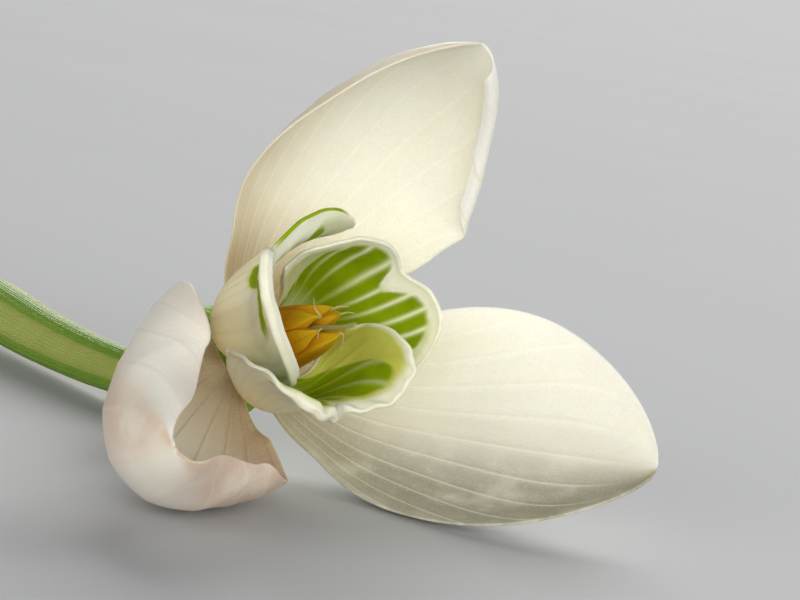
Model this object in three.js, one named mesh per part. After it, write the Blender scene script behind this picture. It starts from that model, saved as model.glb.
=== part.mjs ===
// Snowdrop flower (Galanthus), one picked bloom lying on a surface.
// Millimetres, +Z up. The bloom rests on the backs of two outer tepals and on
// the cut end of its scape, all at z = 0, and the origin is the centre of the
// bounding box at its bottom.
import * as THREE from "three";

// ---- attitude of the bloom -------------------------------------------------
const AXIS_ELEVATION = 29.1;      // degrees, from the receptacle to the mouth
const AXIS_AZIMUTH = -44.5;       // degrees from +X
const BLADE = 0.6;                // thickness of every tepal
const RIM_RADIUS = 0.7;           // tightest cross curl that a blade takes, mm
const MIDRIB = { steps: 112, reach: 1.12 };   // reach: in lengths of the tepal

// ---- tepals ----------------------------------------------------------------
// azimuth: round the bloom's axis, 0 is its upper side
// flare: lean from the axis at the base, middle and tip, degrees
// twist: turn of the cross-section, at the base and added towards the tip
// curl: half angle of the cross-section, radians, along the tepal
// skew: more curl on the left (+) margin than on the right, base and tip
// sway: sideways bend of the tip, mm
// breadth: width against the usual one
// wider: share by which the left (+) half is wider than the right
// widest, basePower, tipPower: where the outline is widest, and how full it is
// below and above that, for the kind or for one tepal
// corner: a blunt corner on the right margin, how far out, where and how long
// flatBase: share of the curl at the very base, full from flatUntil along
// bends: where the lean turns from the base's to the middle's, and to the tip's
const OUTER = { length: 25, width: 17.8, base: 0.12, radius: 2.0, height: 0.35,
  bends: [0.45, 0.45], widest: 0.56, basePower: 0.86, tipPower: 0.68, tipHalfWidth: 0.3,
  flatBase: 0.3, flatUntil: 0.2 };
const OUTER_TEPALS = {
  outer_tepal_upper: { azimuth: -18.6, flare: [64.5, 34.6, -7.8], twist: [-3.1, -1.9],
    curl: [1.06, 1.39, 1.19], skew: [-0.11, 0.01], sway: 0.82, breadth: 0.935,
    wider: -0.063, widest: 0.528, basePower: 0.767, tipPower: 0.716,
    corner: { out: 0.46, at: 0.517, reach: 0.044 } },
  outer_tepal_right: { azimuth: -128.8, flare: [72.2, 36.8, 29.5], twist: [0, 0.5],
    curl: [0.78, 0.82, 0.87], skew: [0, 0], sway: 0, breadth: 1, wider: 0 },
  outer_tepal_near: { azimuth: 113.9, flare: [90.9, 65.5, 2.5], twist: [5.6, -8.7],
    curl: [1.71, 2.62, 3.5], skew: [0.06, -0.02], sway: 0.08, breadth: 1.2,
    wider: 0, widest: 0.529, basePower: 0.796, tipPower: 0.642 },
};
// belly: how far the tepal bulges outward along its lower part, mm
// roll: how far the rim of its lobes turns outward, mm
// longer: share by which the end stands further out, about which t, how widely
const INNER = { length: 11.35, width: 17.5, widest: 0.85, base: 0.12,
  basePower: 1.15, radius: 1.5, height: 1.25, bends: [0.4, 0.55],
  bellyEnd: 0.62, rollFrom: 0.84,
  notch: 0.13, notchWidth: 0.15, notchAt: -0.06, lobeDrop: 0.55, lobeRound: [0.42, 1.06],
  longer: [0, 0, 1] };
const INNER_TEPALS = {
  inner_tepal_right: { azimuth: -60.1, flare: [43.1, 16.9, -14.3], twist: [5.7, 11.9],
    curl: [1.9, 2.05], skew: -0.03, sway: 0.5, belly: 0.6, roll: 0.2, wider: -0.04 },
  inner_tepal_lower: { azimuth: 168.9, flare: [64.4, 12.4, 29.6], twist: [12.8, 13.8],
    curl: [1.8, 2.35], skew: 0.27, sway: -0.04, belly: 0.51, roll: 0.11, wider: -0.03 },
  inner_tepal_near: { azimuth: 71.4, flare: [57.0, 19.7, 28.7], twist: [-3.4, -26.1],
    curl: [1.6, 2.51], skew: 0.18, sway: -1.65, belly: 1.34, roll: 0.33, wider: -0.07,
    longer: [0.085, 0.2, 0.2] },
};

// ---- pistil, stamens and stalk ---------------------------------------------
// radius and height along the bloom's axis, from the ovary's foot to the stigma
const PISTIL_PROFILE = [[0.8, -6.7], [1.5, -6.35], [2.3, -5.5], [2.95, -4.3],
  [3.35, -3.2], [3.5, -2.1], [3.45, -1.3], [2.9, -0.7], [1.8, -0.35],
  [0.42, -0.15], [0.36, 0.2], [0.33, 4.5], [0.33, 8.9], [0.2, 9.3]];
// the cone of six anthers on their common ring: height, radius and how deep
// the clefts between the anthers are, as a share of the radius
const STAMENS = { count: 6, hollow: 0.67, cone: [[0.15, 0.92, 0],
  [0.75, 0.92, 0], [2.0, 1.0, 0.05], [2.8, 1.7, 0.16], [4.0, 1.8, 0.18],
  [5.6, 1.55, 0.18], [7.2, 1.2, 0.16], [8.7, 0.88, 0.08]] };
const PEDICEL_RADIUS = 0.65;
const SCAPE_RADIUS = 1.6;
const SEAT = 0.3;                 // gap that neighbouring pieces keep
// course of the stalk from the ovary's foot, relative to the receptacle in x
// and y, with its height above the surface
const STALK = [[-5.6, 6.6, 2.3], [-7.6, 8.4, 2.15], [-9.9, 10.6, 2.1],
  [-13.3, 14.3, 2.2], [-17.5, 19.4, 2.5], [-21.2, 24.6, 2.45],
  [-25.2, 30.6, 2.1], [-29.2, 36.8, 1.75], [-33.0, 43.0, 1.6]];
const SPATHE_END = 0.585;         // share of the stalk's course that it covers
const SPATHE = { start: 0.015, opening: 90, openTo: 140, keel: 0.16, facing: 12,
  radii: [1.55, 1.6, 1.72, 1.85, 2.0, 2.1, 2.05, 1.9] };

// ---- helpers ---------------------------------------------------------------
const rad = THREE.MathUtils.degToRad;

function smooth(a, b, x) {
  const t = Math.min(Math.max((x - a) / (b - a), 0), 1);
  return t * t * (3 - 2 * t);
}

function sample(list, t) {
  const x = Math.min(Math.max(t, 0), 1) * (list.length - 1);
  const i = Math.min(Math.floor(x), list.length - 2);
  return list[i] + (list[i + 1] - list[i]) * (x - i);
}

// A closed solid through rings with the same number of points. An end is
// closed as a fan round its middle, or, for a blade, across its thickness.
function loft(rings, bladeEnds) {
  const n = rings[0].length;
  const points = rings.flat();
  const index = [];
  for (let i = 0; i < rings.length - 1; i += 1) {
    for (let j = 0; j < n; j += 1) {
      const a = i * n + j;
      const b = i * n + ((j + 1) % n);
      if ((i + j) % 2) {
        index.push(a, b, a + n, b, b + n, a + n);
      } else {
        index.push(a, b, b + n, a, b + n, a + n);
      }
    }
  }
  [0, rings.length - 1].forEach((end) => {
    const flip = end !== 0;
    const at = (j) => end * n + ((j + n) % n);
    const face = (a, b, c) => index.push(...(flip ? [a, b, c] : [a, c, b]));
    if (bladeEnds) {
      for (let j = 0; j < n / 2 - 1; j += 1) {
        face(at(j), at(j + 1), at(n - 2 - j));
        face(at(j), at(n - 2 - j), at(n - 1 - j));
      }
    } else {
      const middle = new THREE.Vector3();
      rings[end].forEach((p) => middle.addScaledVector(p, 1 / n));
      points.push(middle);
      for (let j = 0; j < n; j += 1) {
        face(at(j), at(j + 1), points.length - 1);
      }
    }
  });
  const geometry = new THREE.BufferGeometry().setFromPoints(points);
  geometry.setIndex(index);
  orientOutward(geometry);
  geometry.computeVertexNormals();
  return geometry;
}

// Turns the faces round if the enclosed volume comes out negative.
function orientOutward(geometry) {
  const p = geometry.attributes.position;
  const list = Array.from(geometry.index.array);
  const [a, b, c] = [new THREE.Vector3(), new THREE.Vector3(), new THREE.Vector3()];
  let volume = 0;
  for (let i = 0; i < list.length; i += 3) {
    a.fromBufferAttribute(p, list[i]);
    b.fromBufferAttribute(p, list[i + 1]);
    c.fromBufferAttribute(p, list[i + 2]);
    volume += a.dot(b.cross(c));
  }
  if (volume < 0) {
    for (let i = 0; i < list.length; i += 3) {
      [list[i + 1], list[i + 2]] = [list[i + 2], list[i + 1]];
    }
    geometry.setIndex(list);
  }
}

// A blade of even thickness round the sheet that sheet(u, t) gives,
// u from 0 to 1 along it and t from -1 to 1 across.
function blade(sheet, rows, columns, spacing) {
  const e = 1e-3;
  const rings = [];
  for (let i = 0; i <= rows; i += 1) {
    const u = spacing(i / rows);
    const front = [];
    const back = [];
    for (let j = 0; j <= columns; j += 1) {
      const t = -1 + (2 * j) / columns;
      const p = sheet(u, t);
      const along = sheet(Math.min(u + e, 1), t).sub(sheet(Math.max(u - e, 0), t));
      const across = sheet(u, Math.min(t + e, 1)).sub(sheet(u, Math.max(t - e, -1)));
      const normal = along.cross(across).normalize().multiplyScalar(BLADE / 2);
      front.push(p.clone().add(normal));
      back.push(p.clone().sub(normal));
    }
    rings.push([...front, ...back.reverse()]);
  }
  return loft(rings, true);
}

// ---- the bloom's own frame -------------------------------------------------
const axis = new THREE.Vector3(
  Math.cos(rad(AXIS_ELEVATION)) * Math.cos(rad(AXIS_AZIMUTH)),
  Math.cos(rad(AXIS_ELEVATION)) * Math.sin(rad(AXIS_AZIMUTH)),
  Math.sin(rad(AXIS_ELEVATION)),
);
const upper = new THREE.Vector3(0, 0, 1).addScaledVector(axis, -axis.z).normalize();
const flank = new THREE.Vector3().crossVectors(axis, upper);

// radial r and sideways b at an azimuth, and z along the axis
function bloomPoint(azimuth, r, b, z) {
  const c = Math.cos(azimuth);
  const s = Math.sin(azimuth);
  return new THREE.Vector3()
    .addScaledVector(upper, r * c - b * s)
    .addScaledVector(flank, r * s + b * c)
    .addScaledVector(axis, z);
}

// The middle line of a tepal: radius, height and lean at steps along it.
function midrib(kind, tepal) {
  const [bendBase, bendTip] = kind.bends;
  const bulge = (s) => (tepal.belly || 0)
    * Math.sin(Math.PI * Math.min(s / (kind.bellyEnd || 1), 1) ** 0.7) ** 2;
  const step = MIDRIB.reach / MIDRIB.steps;
  const lean = (s) => rad(tepal.flare[1]
    + (tepal.flare[0] - tepal.flare[1]) * (1 - smooth(0, bendBase, s))
    + (tepal.flare[2] - tepal.flare[1]) * smooth(bendTip, 1, s));
  const r = [kind.radius];
  const z = [kind.height];
  for (let i = 0; i < MIDRIB.steps; i += 1) {
    const d = kind.length * step;
    const m = lean((i + 0.5) * step);
    r.push(r[i] + Math.sin(m) * d);
    z.push(z[i] + Math.cos(m) * d);
  }
  return { r: r.map((radius, i) => radius + bulge(i * step)), z, lean };
}

// Point of a tepal from its half width, curl, twist and rolled rim at s along
// and t across.
function tepalPoint(tepal, line, s, t, half, curl, twist, roll) {
  const bend = (curl * half) / (half + RIM_RADIUS * Math.abs(curl));
  const x = (half / bend + roll) * Math.sin(bend * t);
  const y = (half / bend) * (1 - Math.cos(bend * t)) - roll * Math.cos(bend * t);
  const sideways = x * Math.cos(twist) - y * Math.sin(twist);
  const inward = x * Math.sin(twist) + y * Math.cos(twist);
  const lean = line.lean(s);
  return bloomPoint(
    rad(tepal.azimuth),
    sample(line.r, s / MIDRIB.reach) - Math.cos(lean) * inward,
    sideways + tepal.sway * s * s,
    sample(line.z, s / MIDRIB.reach) + Math.sin(lean) * inward,
  );
}

// Half width of an outer tepal at u along and t across.
function outerHalfWidth(tepal, u, t) {
  const { widest, basePower, tipPower, corner } = { ...OUTER, ...tepal };
  const rise = Math.sin((Math.PI / 2) * Math.min(u / widest, 1)) ** basePower;
  const past = Math.max(u - widest, 0) / (1 - widest);
  const fall = Math.max(1 - past * past, 0) ** tipPower;
  const share = u < widest ? OUTER.base + (1 - OUTER.base) * rise : fall;
  const even = (tepal.breadth * OUTER.width * share) / 2
    + OUTER.tipHalfWidth * smooth(0.8, 1, u);
  const half = even * (1 + tepal.wider * Math.tanh(2 * t));
  if (!corner) return half;
  const off = Math.abs((u - corner.at) / corner.reach);
  return half + corner.out * Math.exp(-(off ** 1.5)) * Math.max(-t, 0) ** 3;
}

function outerSheet(tepal) {
  const line = midrib(OUTER, tepal);
  return (u, t) => {
    const skew = tepal.skew[0] + (tepal.skew[1] - tepal.skew[0]) * smooth(0.3, 0.9, u);
    const flat = OUTER.flatBase + (1 - OUTER.flatBase) * smooth(0, OUTER.flatUntil, u);
    const even = tepal.curl[0] + (tepal.curl[1] - tepal.curl[0]) * smooth(0.3, 0.7, u)
      + (tepal.curl[2] - tepal.curl[1]) * smooth(0.7, 1, u);
    const curl = even * (1 + skew * Math.tanh(2 * t)) * flat;
    const twist = rad(tepal.twist[0] + tepal.twist[1] * smooth(0, 0.5, u));
    return tepalPoint(tepal, line, u, t, outerHalfWidth(tepal, u, t), curl, twist, 0);
  };
}

function innerSheet(tepal) {
  const line = midrib(INNER, tepal);
  const [share, about, spread] = tepal.longer || INNER.longer;
  return (u, t) => {
    const notch = Math.exp(-(((t - INNER.notchAt) / INNER.notchWidth) ** 2));
    const drop = smooth(...INNER.lobeRound, Math.abs(t));
    const more = share * Math.exp(-(((t - about) / spread) ** 2));
    const s = u * (1 - INNER.notch * notch - INNER.lobeDrop * drop + more);
    const rise = Math.sin((Math.PI / 2) * Math.min(s / INNER.widest, 1)) ** INNER.basePower;
    const left = Math.tanh(2 * t);
    const half = (INNER.width / 2) * (INNER.base + (1 - INNER.base) * rise)
      * (1 + tepal.wider * left);
    const curl = (tepal.curl[0] + (tepal.curl[1] - tepal.curl[0]) * smooth(0.4, 1, s))
      * (1 + tepal.skew * left);
    const twist = rad(tepal.twist[0] + tepal.twist[1] * smooth(0.4, 1, s));
    const roll = tepal.roll * smooth(INNER.rollFrom, 1, u) ** 1.5;
    return tepalPoint(tepal, line, s, t, half, curl, twist, roll);
  };
}

// A round solid about the bloom's axis.
function turned(profile, sides) {
  return loft(profile.map(([r, z]) => {
    const ring = [];
    for (let j = 0; j < sides; j += 1) {
      const a = (2 * Math.PI * j) / sides;
      ring.push(bloomPoint(a, r, 0, z));
    }
    return ring;
  }), false);
}

// ---- stamens: one ring with six filaments and anthers grown on it -----------
// The wall's radius swings between the anthers and the clefts that part them,
// and the style stands free in its middle.
function stamenCone() {
  const sides = STAMENS.count * 6;
  const ring = (z, r, cleft) => {
    const list = [];
    for (let j = 0; j < sides; j += 1) {
      const a = (2 * Math.PI * j) / sides;
      const lobe = Math.abs(Math.cos((STAMENS.count * a) / 2)) ** 0.7;
      list.push(bloomPoint(a, r * (1 - cleft * (1 - lobe)), 0, z));
    }
    return list;
  };
  const outside = STAMENS.cone.map(([z, r, cleft]) => ring(z, r, cleft));
  const inside = STAMENS.cone.map(([z]) => ring(z, STAMENS.hollow, 0)).reverse();
  const wall = [...outside, ...inside];
  const n = sides;
  const points = wall.flat();
  const index = [];
  for (let i = 0; i < wall.length; i += 1) {
    const next = (i + 1) % wall.length;
    for (let j = 0; j < n; j += 1) {
      const k = (j + 1) % n;
      index.push(i * n + j, i * n + k, next * n + k);
      index.push(i * n + j, next * n + k, next * n + j);
    }
  }
  const geometry = new THREE.BufferGeometry().setFromPoints(points);
  geometry.setIndex(index);
  orientOutward(geometry);
  geometry.computeVertexNormals();
  return geometry;
}

// ---- solids of the tepals, and the surface under them ------------------------
const solids = new Map();
for (const [name, tepal] of Object.entries(OUTER_TEPALS)) {
  solids.set(name, blade(outerSheet(tepal), 20, 12, (u) => 1 - (1 - u) ** 1.5));
}
for (const [name, tepal] of Object.entries(INNER_TEPALS)) {
  solids.set(name, blade(innerSheet(tepal), 14, 16, (u) => u));
}
let surface = 0;
for (const geometry of solids.values()) {
  geometry.computeBoundingBox();
  surface = Math.min(surface, geometry.boundingBox.min.z);
}

// ---- stalk -------------------------------------------------------------------
const foot = axis.clone().multiplyScalar(PISTIL_PROFILE[0][1] - 1.7 * SEAT);
const course = new THREE.CatmullRomCurve3([
  foot,
  ...STALK.map(([x, y, h]) => new THREE.Vector3(x, y, surface + h)),
], false, "centripetal");

// The frame at a point of the course: sideways, over and along.
function courseFrame(t) {
  const at = course.getPointAt(t);
  const along = course.getTangentAt(t);
  const sideways = new THREE.Vector3(0, 0, 1).cross(along).normalize();
  const over = along.clone().cross(sideways);
  return { at, along, sideways, over };
}

function rod(from, to, steps, sides, radiusAt) {
  const rings = [];
  for (let i = 0; i <= steps; i += 1) {
    const f = courseFrame(from + ((to - from) * i) / steps);
    const ring = [];
    for (let j = 0; j < sides; j += 1) {
      const a = (2 * Math.PI * j) / sides;
      ring.push(f.at.clone()
        .addScaledVector(f.sideways, radiusAt(i / steps) * Math.cos(a))
        .addScaledVector(f.over, radiusAt(i / steps) * Math.sin(a)));
    }
    rings.push(ring);
  }
  return loft(rings, false);
}

// The spathe wraps the pedicel, open along the side away from the bloom's
// mouth, with two keels that stand out as low ridges.
function spatheSheet(u, t) {
  const f = courseFrame(SPATHE.start + (SPATHE_END - SPATHE.start) * u);
  const open = SPATHE.opening + (SPATHE.openTo - SPATHE.opening) * (1 - u) ** 2;
  const a = rad(180 - open / 2) * t;
  const ridge = Math.exp(-(((Math.abs(a) - rad(52)) / 0.3) ** 2));
  const r = sample(SPATHE.radii, u) - BLADE / 2 + SPATHE.keel * ridge;
  const facing = f.sideways.clone().multiplyScalar(Math.cos(rad(SPATHE.facing)))
    .addScaledVector(f.over, Math.sin(rad(SPATHE.facing)));
  const turn = f.along.clone().cross(facing);
  return f.at.clone()
    .addScaledVector(facing, r * Math.cos(a))
    .addScaledVector(turn, r * Math.sin(a));
}

const courseLength = course.getLength();
const scapeStart = SPATHE_END + SEAT / courseLength;
solids.set("pistil", turned(PISTIL_PROFILE, 20));
solids.set("stamens", stamenCone());
solids.set("pedicel", rod(0, scapeStart - SEAT / courseLength, 22, 10,
  () => PEDICEL_RADIUS));
solids.set("scape", rod(scapeStart, 1, 12, 16, () => SCAPE_RADIUS));
solids.set("spathe", blade(spatheSheet, 18, 16, (u) => u));

// ---- materials and scene -----------------------------------------------------
const tepalWhite = { color: 0xf1ece2, roughness: 0.55, metalness: 0 };
const looks = {
  outer: tepalWhite,
  inner: { color: 0xdfe6b8, roughness: 0.55, metalness: 0 },
  pistil: { color: 0x7fb23c, roughness: 0.5, metalness: 0 },
  stamens: { color: 0xd9951f, roughness: 0.6, metalness: 0 },
  pedicel: { color: 0x8fae4a, roughness: 0.5, metalness: 0 },
  scape: { color: 0x6f9a3a, roughness: 0.5, metalness: 0 },
  spathe: { color: 0x9dbb62, roughness: 0.5, metalness: 0 },
};

const box = new THREE.Box3();
for (const geometry of solids.values()) {
  geometry.computeBoundingBox();
  box.union(geometry.boundingBox);
}
const centre = box.getCenter(new THREE.Vector3());
const flower = new THREE.Group();
flower.name = "snowdrop_flower";
for (const [name, geometry] of solids) {
  geometry.translate(-centre.x, -centre.y, -box.min.z);
  const look = looks[name.split("_")[0]];
  const mesh = new THREE.Mesh(geometry, new THREE.MeshStandardMaterial(look));
  mesh.name = name;
  flower.add(mesh);
}

export default flower;
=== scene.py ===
"""Looks of a picked snowdrop flower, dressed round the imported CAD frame.

The tepals, stamens, pistil and stalk follow the same formulas and named sizes as
the solids, in millimetres about the receptacle, but finer: thin blades with raised
veins, rolled white rims, grooved anthers with awns, and a keeled spathe.
"""
import math

import bpy
import numpy as np
from mathutils import Matrix, Vector


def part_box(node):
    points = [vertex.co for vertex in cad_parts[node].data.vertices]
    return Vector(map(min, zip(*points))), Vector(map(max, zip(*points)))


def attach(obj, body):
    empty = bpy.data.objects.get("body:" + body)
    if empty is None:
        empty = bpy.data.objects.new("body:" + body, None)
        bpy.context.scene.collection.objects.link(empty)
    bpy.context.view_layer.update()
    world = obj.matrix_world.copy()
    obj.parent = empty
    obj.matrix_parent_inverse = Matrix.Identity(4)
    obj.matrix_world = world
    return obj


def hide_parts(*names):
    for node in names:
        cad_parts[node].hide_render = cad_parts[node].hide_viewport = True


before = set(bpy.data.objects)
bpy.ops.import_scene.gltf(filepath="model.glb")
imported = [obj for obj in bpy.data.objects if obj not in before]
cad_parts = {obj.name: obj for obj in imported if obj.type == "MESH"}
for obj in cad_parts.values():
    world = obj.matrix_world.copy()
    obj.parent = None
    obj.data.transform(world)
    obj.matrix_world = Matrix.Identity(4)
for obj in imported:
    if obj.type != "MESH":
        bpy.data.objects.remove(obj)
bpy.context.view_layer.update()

MM = 0.001
NUDGE = 1e-3                  # step of a slope, in shares of a length or half width

# ---- attitude of the bloom, degrees --------------------------------------------------
AXIS_ELEVATION = 29.1
AXIS_AZIMUTH = -44.5

# ---- tepals: sizes in mm, angles in degrees, curls in radians ------------------------
RIM_RADIUS = 0.7              # tightest curl across a blade
MIDRIB = dict(steps=112, reach=1.12)    # of the middle line; reach in tepal lengths
OUTER = dict(length=25, width=17.8, base=0.12, radius=2.0, height=0.35,
             bends=(0.45, 0.45), widest=0.56, rise=0.86, fall=0.68, tip_half_width=0.3,
             flat_base=0.3, flat_until=0.2, wider=0, corner=(0, 0.5, 0.1))
OUTER_TEPALS = {
    "upper": dict(azimuth=-18.6, flare=(64.5, 34.6, -7.8), twist=(-3.1, -1.9),
                  curl=(1.06, 1.39, 1.19), skew=(-0.11, 0.01), sway=0.82, breadth=0.935,
                  wider=-0.063, widest=0.528, rise=0.767, fall=0.716,
                  corner=(0.46, 0.517, 0.044)),
    "right": dict(azimuth=-128.8, flare=(72.2, 36.8, 29.5), twist=(0, 0.5),
                  curl=(0.78, 0.82, 0.87), skew=(0, 0), sway=0, breadth=1),
    "near": dict(azimuth=113.9, flare=(90.9, 65.5, 2.5), twist=(5.6, -8.7),
                 curl=(1.71, 2.62, 3.5), skew=(0.06, -0.02), sway=0.08, breadth=1.2,
                 widest=0.529, rise=0.796, fall=0.642),
}
INNER = dict(length=11.35, width=17.5, base=0.12, radius=1.5, height=1.25,
             bends=(0.4, 0.55), widest=0.85, rise=1.15, belly_end=0.62, roll_from=0.84,
             notch=0.13, notch_width=0.15, notch_at=-0.06, drop=0.55, round=(0.42, 1.06),
             longer=(0, 0, 1), bead=(0.3, 0, 0))
INNER_TEPALS = {
    "right": dict(azimuth=-60.1, flare=(43.1, 16.9, -14.3), twist=(5.7, 11.9),
                  curl=(1.9, 2.05), skew=-0.03, sway=0.5, belly=0.6, roll=0.2,
                  wider=-0.04, frill=0.012),
    "lower": dict(azimuth=168.9, flare=(64.4, 12.4, 29.6), twist=(12.8, 13.8),
                  curl=(1.8, 2.35), skew=0.27, sway=-0.04, belly=0.51, roll=0.11,
                  wider=-0.03, frill=0.07, bead=(0.85, -0.58, -0.04)),
    "near": dict(azimuth=71.4, flare=(57.0, 19.7, 28.7), twist=(-3.4, -26.1),
                 curl=(1.6, 2.51), skew=0.18, sway=-1.65, belly=1.34, roll=0.33,
                 wider=-0.07, frill=0.015, longer=(0.085, 0.2, 0.2), bead=(0.8, 0.02, 0.95)),
}
HEM = dict(share=0.1, size=1.1, least=0.04, beside=0.02, radius=0.26, turn=2.7,
           start=(0.5, 0.64), end=(1.0, 0.96))
VEIN_PITCH = 0.19             # outer veins, in half widths of the tepal
VEIN_FAN = 0.55               # share of the vein numbers that is gone at the tip
VEIN_SPAN = 12                # vein numbers that the veins coordinate spans
RIB_PITCH = (0.125, 0.185)    # inner ribs, right and left, in half widths
RIB_MIDDLE = -0.08            # of the rib in the notch
RIB_SPAN = 16                 # the same for the ribs
# thicknesses and heights in mm, the grid in steps along and across, and the waves of
# the frill as (waves, phase) in radians
OUTER_BLADE = dict(middle=0.34, rim=0.16, grid=(200, 190), vein=0.045, vein_width=0.1,
                   vein_behind=0.6, quilt=0.02)
INNER_BLADE = dict(middle=0.36, rim=0.24, grid=(120, 170), rib=0.07, groove=0.03,
                   rib_width=0.16, waves=((31, 1.3), (47, 0)))

# ---- stalk: course from the ovary's foot, x and y from the receptacle, and
# ---- height above the surface, mm ----------------------------------------------------
STALK = [(-5.6, 6.6, 2.3), (-7.6, 8.4, 2.15), (-9.9, 10.6, 2.1),
         (-13.3, 14.3, 2.2), (-17.5, 19.4, 2.5), (-21.2, 24.6, 2.45),
         (-25.2, 30.6, 2.1), (-29.2, 36.8, 1.75), (-33.0, 43.0, 1.6)]
SEAT = 0.3                    # gap that the solids keep
SPATHE_END = 0.585            # share of the stalk's course that the spathe covers
PEDICEL = dict(radius=0.65, steps=90, sides=32, flutes=3, flute=0.03)
SCAPE = dict(radius=1.6, steps=80, sides=72, flutes=9, flute=0.012, shoulder=0.12,
             cut_rings=12, cut_middle=0.04)
# angles in degrees, keel_width in radians; the keels stand keel_at off the middle
SPATHE = dict(start=0.015, opening=90, open_to=140, keel=0.16, keel_at=52, keel_width=0.3,
              facing=12, blade=0.4, ribs=26, rib=0.015, grid=(160, 120),
              radii=(1.55, 1.6, 1.72, 1.85, 2.0, 2.1, 2.05, 1.9))

# ---- colours, linear: patches mix a pair ---------------------------------------------
OUTER_TINTS = dict(milk=((0.88, 0.86, 0.76), (0.95, 0.94, 0.87)), speck=(0.86, 0.74, 0.42),
                   grain=(0.80, 0.77, 0.66))
INNER_TINTS = dict(white=((0.90, 0.90, 0.68), (0.97, 0.97, 0.82)), warm=(0.92, 0.80, 0.46),
                   green=((0.19, 0.29, 0.001), (0.33, 0.46, 0.002)), vein=(0.80, 0.74, 0.52),
                   halo=(0.70, 0.72, 0.18), rib=((0.44, 0.50, 0.05), (0.88, 0.90, 0.55)))
ANTHER_TINTS = dict(body=((0.48, 0.17, 0.001), (0.66, 0.29, 0.003)), tip=(0.72, 0.46, 0.012),
                    pollen=(0.78, 0.42, 0.02), seam=(0.34, 0.11, 0.002))
SPATHE_TINTS = dict(membrane=((0.36, 0.42, 0.09), (0.48, 0.52, 0.15)),
                    keel=((0.13, 0.27, 0.02), (0.22, 0.37, 0.04)), edge=(0.50, 0.52, 0.22),
                    vein=(0.30, 0.44, 0.08))
CUT_TINTS = dict(pith=(0.72, 0.78, 0.50), rind=(0.30, 0.45, 0.10), pore=(0.50, 0.58, 0.28))
STREAKS = dict(awn=((0.78, 0.68, 0.22), (0.92, 0.84, 0.42)),
               style=((0.60, 0.62, 0.16), (0.80, 0.78, 0.34)),
               ovary=((0.14, 0.30, 0.004), (0.30, 0.48, 0.02)),
               pedicel=((0.24, 0.42, 0.06), (0.45, 0.60, 0.16)),
               scape=((0.15, 0.32, 0.04), (0.38, 0.54, 0.14)))
FLOOR_TINTS = ((0.49, 0.50, 0.515), (0.53, 0.54, 0.555))
# painted shade: dark veins for the near tepal's inner face, which lies in shade
SHADED_VEIN = (0.42, 0.33, 0.20)
LIGHT_VEIN = (0.98, 0.97, 0.88)

# ---- looks of each tepal, with curves over its width, from 0 to 1 --------------------
# outer tepals: the first colour of each is painted shade, laid over the width as much as its
# shade curve says
OUTER_LOOKS = {
    # base is painted shade: a darker colour laid towards the base of each blade
    "upper": dict(shade_colour=(0.72, 0.60, 0.42), base=(0.72, 0.60, 0.42),
                  shade=((0, 0), (0.55, 0), (0.8, 0.35), (1, 0.7)),
                  veins=(LIGHT_VEIN, (0.78, 0.70, 0.55))),
    "right": dict(shade_colour=(0.40, 0.38, 0.27), base=(0.58, 0.54, 0.38),
                  shade=((0, 1), (0.2, 0.95), (0.36, 0.68), (0.6, 0.12), (1, 0)),
                  veins=(LIGHT_VEIN, (0.76, 0.70, 0.55))),
    "near": dict(shade_colour=(0.70, 0.53, 0.41), base=(0.56, 0.44, 0.24),
                 shade=((0, 0.6), (0.1, 0.15), (0.18, 0.1), (0.34, 0.9), (0.48, 0.5),
                        (0.6, 0.2), (0.9, 1), (1, 1)),
                 veins=(SHADED_VEIN, (0.80, 0.72, 0.60))),
}
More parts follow.
